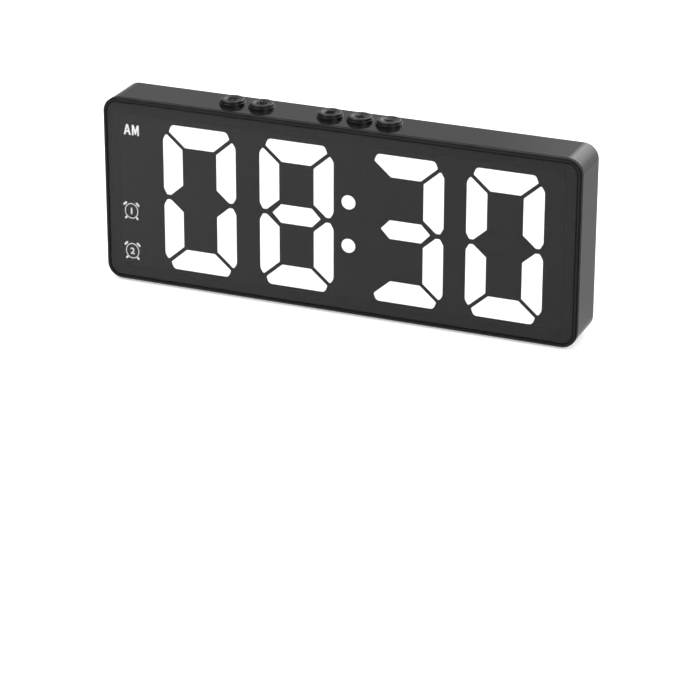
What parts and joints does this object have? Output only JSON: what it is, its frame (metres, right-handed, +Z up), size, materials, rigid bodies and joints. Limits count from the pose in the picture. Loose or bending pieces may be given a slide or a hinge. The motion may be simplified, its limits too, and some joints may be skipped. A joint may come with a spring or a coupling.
{
  "type": "digital led desk clock",
  "caption": "Slim rectangular desk clock with large lit seven-segment digits behind a smoked lens, push buttons on top and a hinged battery door at the back.",
  "frame": {"origin": "on the surface it stands on, under the middle of the body", "axes": "+X to the right seen from the front, the display faces -Y, +Z up"},
  "size_m": [0.16, 0.018, 0.0639],
  "materials": {
    "frame_plastic": "fine matte black",
    "smoked_lens": "smooth smoked acrylic",
    "housing_plastic": "satin black",
    "door_plastic": "satin black",
    "light_box_plastic": "matte black",
    "lit_diffuser": "milky white, lit",
    "dark_diffuser": "milky, unlit behind the smoked lens",
    "circuit_board": "green solder mask",
    "led_package": "clear over yellow phosphor",
    "chip_epoxy": "black epoxy",
    "header_plastic": "black",
    "buzzer_plastic": "black",
    "capacitor_can": "bright",
    "crystal_can": "bright",
    "inlet_steel": "plated",
    "contact_metal": "nickel plated",
    "screw_steel": "black zinc",
    "cell_sleeve": "printed sleeve, plain",
    "foot_rubber": "matte",
    "button_plastic": "satin black",
    "plunger_plastic": "natural white",
    "switch_plastic": "black"
  },
  "bodies": {
    "clock_body": {"board_header": "header_plastic", "buzzer": "buzzer_plastic", "capacitor": "capacitor_can", "cell_lower": "cell_sleeve", "cell_middle": "cell_sleeve", "cell_upper": "cell_sleeve", "clock_chip": "chip_epoxy", "colon_dots": "lit_diffuser", "contact_plates": "contact_metal", "display_board": "circuit_board", "display_reflector": "light_box_plastic", "foot_front_left": "foot_rubber", "foot_front_right": "foot_rubber", "foot_rear_left": "foot_rubber", "foot_rear_right": "foot_rubber", "front_frame": "frame_plastic", "front_lens": "smoked_lens", "housing_screws": "screw_steel", "key_board": "circuit_board", "key_board_screws": "screw_steel", "leaf_springs": "contact_metal", "led_chips": "led_package", "main_board": "circuit_board", "main_board_screws": "screw_steel", "quartz_crystal": "crystal_can", "rear_housing": "housing_plastic", "segments_hour_tens": "lit_diffuser", "segments_hour_units": "lit_diffuser", "segments_minute_tens": "lit_diffuser", "segments_minute_units": "lit_diffuser", "supply_inlet": "inlet_steel", "switch_body_1": "switch_plastic", "switch_body_2": "switch_plastic", "switch_body_3": "switch_plastic", "switch_body_4": "switch_plastic", "switch_body_5": "switch_plastic", "unlit_segments": "dark_diffuser"},
    "door": {"battery_door": "door_plastic"},
    "button_1": {"button_cap_1": "button_plastic", "switch_plunger_1": "plunger_plastic"},
    "button_2": {"button_cap_2": "button_plastic", "switch_plunger_2": "plunger_plastic"},
    "button_3": {"button_cap_3": "button_plastic", "switch_plunger_3": "plunger_plastic"},
    "button_4": {"button_cap_4": "button_plastic", "switch_plunger_4": "plunger_plastic"},
    "button_5": {"button_cap_5": "button_plastic", "switch_plunger_5": "plunger_plastic"}
  },
  "joints": [
    {"name": "battery_door_hinge", "type": "hinge", "parent": "clock_body", "child": "door", "pos_m": [-0.018, 0.009, 0.0053], "axis": [-1, 0, 0], "range_deg": [0, 60]},
    {"name": "button_1_press", "type": "slide", "parent": "clock_body", "child": "button_1", "axis": [0, 0, -1], "range_m": [0, 0.0005], "stiffness_N_per_m": 800, "springref_m": -0.0004},
    {"name": "button_2_press", "type": "slide", "parent": "clock_body", "child": "button_2", "axis": [0, 0, -1], "range_m": [0, 0.0005], "stiffness_N_per_m": 800, "springref_m": -0.0004},
    {"name": "button_3_press", "type": "slide", "parent": "clock_body", "child": "button_3", "axis": [0, 0, -1], "range_m": [0, 0.0005], "stiffness_N_per_m": 800, "springref_m": -0.0004},
    {"name": "button_4_press", "type": "slide", "parent": "clock_body", "child": "button_4", "axis": [0, 0, -1], "range_m": [0, 0.0005], "stiffness_N_per_m": 800, "springref_m": -0.0004},
    {"name": "button_5_press", "type": "slide", "parent": "clock_body", "child": "button_5", "axis": [0, 0, -1], "range_m": [0, 0.0005], "stiffness_N_per_m": 800, "springref_m": -0.0004}
  ]
}
